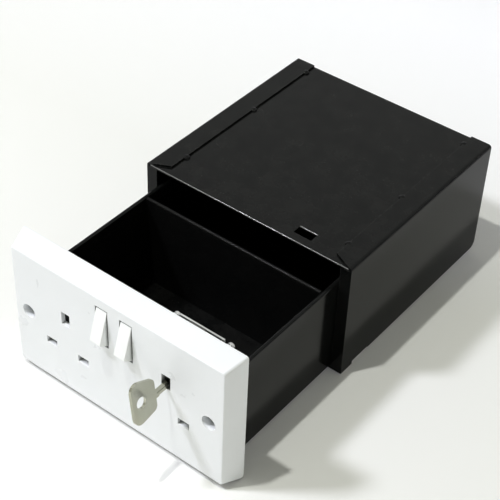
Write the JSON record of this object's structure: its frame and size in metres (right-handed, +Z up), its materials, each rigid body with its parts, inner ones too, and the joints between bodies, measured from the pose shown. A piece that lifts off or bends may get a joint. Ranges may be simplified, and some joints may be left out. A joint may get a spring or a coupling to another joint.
{
  "type": "outlet diversion safe",
  "caption": "Lockable steel drawer in a wall sleeve, hidden behind a dummy double switched-socket faceplate, shown pulled out with its key in the lock.",
  "frame": {"origin": "middle of the footprint of the whole object as it stands in the picture, at the height of the faceplate's lower edge", "axes": "+X to the right of someone facing the plate, +Y into the wall, +Z up"},
  "size_m": [0.146, 0.2662, 0.086],
  "materials": {
    "black_paint": "satin black paint on folded steel sheet",
    "white_plastic": "smooth white moulded plastic",
    "zinc": "zinc-plated steel",
    "nickel": "nickel-plated, lightly worn",
    "dark_metal": "dark burnished metal"
  },
  "bodies": {
    "sleeve": {"sleeve_top_panel": "black_paint", "sleeve_floor_and_back": "black_paint", "sleeve_left_side": "black_paint", "sleeve_right_side": "black_paint"},
    "drawer": {"faceplate": "white_plastic", "drawer_front_wall": "black_paint", "drawer_rear_wall": "black_paint", "drawer_left_side": "black_paint", "drawer_right_side": "black_paint", "drawer_base": "black_paint", "plate_screw_1": "zinc", "plate_screw_2": "zinc", "plate_screw_3": "zinc", "plate_screw_4": "zinc", "rocker_axle": "zinc", "rocker_cradle": "white_plastic", "lock_barrel": "zinc", "lock_nut": "zinc", "lock_case": "zinc", "lock_backplate": "zinc", "lock_screw_1": "zinc", "lock_screw_2": "zinc"},
    "rocker_left": {"rocker_left": "white_plastic"},
    "rocker_right": {"rocker_right": "white_plastic"},
    "plug": {"lock_plug": "dark_metal"},
    "bolt": {"lock_bolt": "zinc"},
    "key": {"key": "nickel"}
  },
  "joints": [
    {"name": "drawer_slide", "type": "slide", "parent": "sleeve", "child": "drawer", "axis": [0, 1, 0], "range_m": [-0.002, 0.0893]},
    {"name": "rocker_left_tilt", "type": "hinge", "parent": "drawer", "child": "rocker_left", "pos_m": [-0.008, -0.10425, 0.0642], "axis": [1, 0, 0], "range_deg": [0, 36]},
    {"name": "rocker_right_tilt", "type": "hinge", "parent": "drawer", "child": "rocker_right", "pos_m": [0.008, -0.10425, 0.0642], "axis": [1, 0, 0], "range_deg": [0, 36]},
    {"name": "plug_turn", "type": "hinge", "parent": "drawer", "child": "plug", "pos_m": [0.0335, -0.1, 0.0515], "axis": [0, 1, 0], "range_deg": [0, 90]},
    {"name": "bolt_lift", "type": "slide", "parent": "drawer", "child": "bolt", "axis": [0, 0, 1], "range_m": [0, 0.00594]},
    {"name": "key_withdraw", "type": "slide", "parent": "plug", "child": "key", "axis": [0, -1, 0], "range_m": [0, 0.018]}
  ],
  "couplings": [
    {"joint": "plug_turn", "follows": "bolt_lift", "rad_per_m": 264.44}
  ]
}
